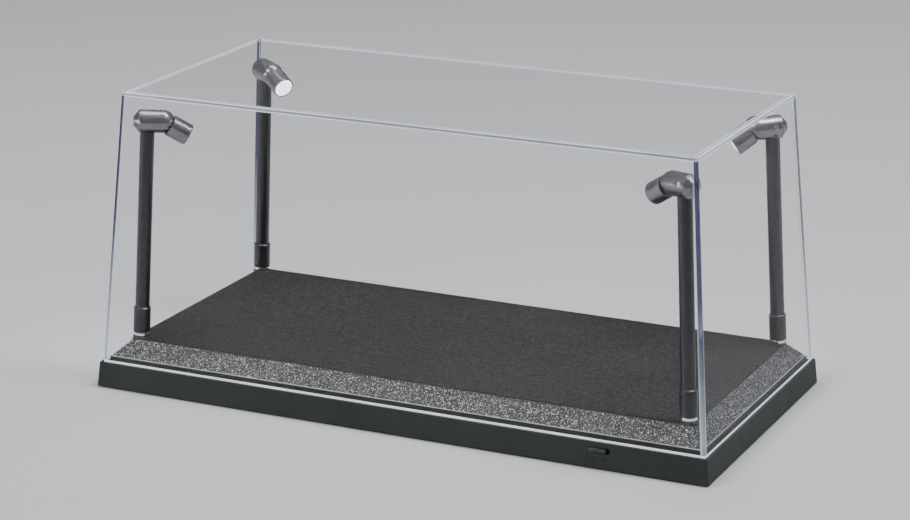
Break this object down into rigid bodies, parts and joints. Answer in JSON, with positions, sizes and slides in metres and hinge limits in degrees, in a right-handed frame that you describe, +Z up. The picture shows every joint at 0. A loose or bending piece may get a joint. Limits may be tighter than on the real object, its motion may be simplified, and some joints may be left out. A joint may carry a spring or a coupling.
{
  "type": "lit display case",
  "caption": "Lit display case: rectangular plinth with a textured deck, swivelling spotlights on corner posts and a clear lift-off cover.",
  "frame": {"origin": "on the surface the case stands on, at the middle of its rectangle", "axes": "+X along the case, -Y at the front where the switch is, +Z up"},
  "size_m": [0.355, 0.174, 0.1646],
  "materials": {
    "satin_black": "satin moulded, fine grain",
    "matt_black": "matt moulded",
    "gloss_black": "polished",
    "asphalt": "fine-grained printed sheet, like asphalt",
    "gravel": "coarse speckled sheet, like gravel",
    "clear": "clear moulded acrylic, polished",
    "lamp_grey": "satin, dark grey",
    "chrome": "bright plated",
    "lens": "clear moulded",
    "led": "bright reflector",
    "steel": "plain",
    "rubber": "matt",
    "cell_wrap": "printed sleeve without lettering",
    "board": "solder mask"
  },
  "bodies": {
    "base": {"base_shell": "satin_black", "asphalt_mat": "asphalt", "bottom_plate": "matt_black", "bottom_screws": "steel", "rubber_feet": "rubber", "battery_box": "matt_black", "battery_cells": "cell_wrap", "battery_contacts": "steel", "switch_body": "matt_black", "circuit_board": "board", "socket_nuts": "steel", "border_strip_front": "gravel", "border_strip_rear": "gravel", "border_strip_left": "gravel", "border_strip_right": "gravel", "front_left_socket": "gloss_black", "front_right_socket": "gloss_black", "rear_left_socket": "gloss_black", "rear_right_socket": "gloss_black"},
    "cover": {"cover": "clear"},
    "battery_door": {"battery_door": "matt_black"},
    "switch_knob": {"switch_knob": "gloss_black"},
    "front_left_lamp": {"front_left_ring": "chrome", "front_left_collar": "lamp_grey", "front_left_post": "lamp_grey", "front_left_elbow": "lamp_grey", "front_left_elbow_cap": "lamp_grey", "front_left_elbow_screw": "steel"},
    "front_left_head": {"front_left_lamp_head": "lamp_grey", "front_left_led_module": "led", "front_left_lens": "lens"},
    "front_right_lamp": {"front_right_ring": "chrome", "front_right_collar": "lamp_grey", "front_right_post": "lamp_grey", "front_right_elbow": "lamp_grey", "front_right_elbow_cap": "lamp_grey", "front_right_elbow_screw": "steel"},
    "front_right_head": {"front_right_lamp_head": "lamp_grey", "front_right_led_module": "led", "front_right_lens": "lens"},
    "rear_left_lamp": {"rear_left_ring": "chrome", "rear_left_collar": "lamp_grey", "rear_left_post": "lamp_grey", "rear_left_elbow": "lamp_grey", "rear_left_elbow_cap": "lamp_grey", "rear_left_elbow_screw": "steel"},
    "rear_left_head": {"rear_left_lamp_head": "lamp_grey", "rear_left_led_module": "led", "rear_left_lens": "lens"},
    "rear_right_lamp": {"rear_right_ring": "chrome", "rear_right_collar": "lamp_grey", "rear_right_post": "lamp_grey", "rear_right_elbow": "lamp_grey", "rear_right_elbow_cap": "lamp_grey", "rear_right_elbow_screw": "steel"},
    "rear_right_head": {"rear_right_lamp_head": "lamp_grey", "rear_right_led_module": "led", "rear_right_lens": "lens"}
  },
  "joints": [
    {"name": "front_left_swivel", "type": "hinge", "parent": "base", "child": "front_left_lamp", "pos_m": [-0.1598, -0.0679, 0.026], "axis": [0.0535, 0.0247, 0.9983], "range_deg": [-31, 55]},
    {"name": "front_left_tilt", "type": "hinge", "parent": "front_left_lamp", "child": "front_left_head", "pos_m": [-0.14627, -0.06033, 0.14671], "axis": [-0.5446, 0.8386, 0.0084], "range_deg": [-38, 17]},
    {"name": "front_right_swivel", "type": "hinge", "parent": "base", "child": "front_right_lamp", "pos_m": [0.1598, -0.0679, 0.026], "axis": [-0.0535, 0.0247, 0.9983], "range_deg": [-63, 23]},
    {"name": "front_right_tilt", "type": "hinge", "parent": "front_right_lamp", "child": "front_right_head", "pos_m": [0.1457, -0.06136, 0.1467], "axis": [-0.4226, -0.9063, -0.0002], "range_deg": [-38, 17]},
    {"name": "rear_left_swivel", "type": "hinge", "parent": "base", "child": "rear_left_lamp", "pos_m": [-0.1598, 0.0679, 0.026], "axis": [0.0535, -0.0247, 0.9983], "range_deg": [-55, 31]},
    {"name": "rear_left_tilt", "type": "hinge", "parent": "rear_left_lamp", "child": "rear_left_head", "pos_m": [-0.14627, 0.06033, 0.14671], "axis": [0.5446, 0.8386, -0.0084], "range_deg": [-28, 27]},
    {"name": "rear_right_swivel", "type": "hinge", "parent": "base", "child": "rear_right_lamp", "pos_m": [0.1598, 0.0679, 0.026], "axis": [-0.0535, -0.0247, 0.9983], "range_deg": [-35, 51]},
    {"name": "rear_right_tilt", "type": "hinge", "parent": "rear_right_lamp", "child": "rear_right_head", "pos_m": [0.14661, 0.05985, 0.14672], "axis": [0.6018, -0.7986, 0.0125], "range_deg": [-41, 14]},
    {"name": "cover_lift", "type": "slide", "parent": "base", "child": "cover", "axis": [0, 0, 1], "range_m": [0, 0.16]},
    {"name": "switch_slide", "type": "slide", "parent": "base", "child": "switch_knob", "axis": [1, 0, 0], "range_m": [0, 0.002]},
    {"name": "battery_door_hinge", "type": "hinge", "parent": "base", "child": "battery_door", "pos_m": [-0.0282, 0, 0.0025], "axis": [0, 1, 0], "range_deg": [0, 80]}
  ]
}
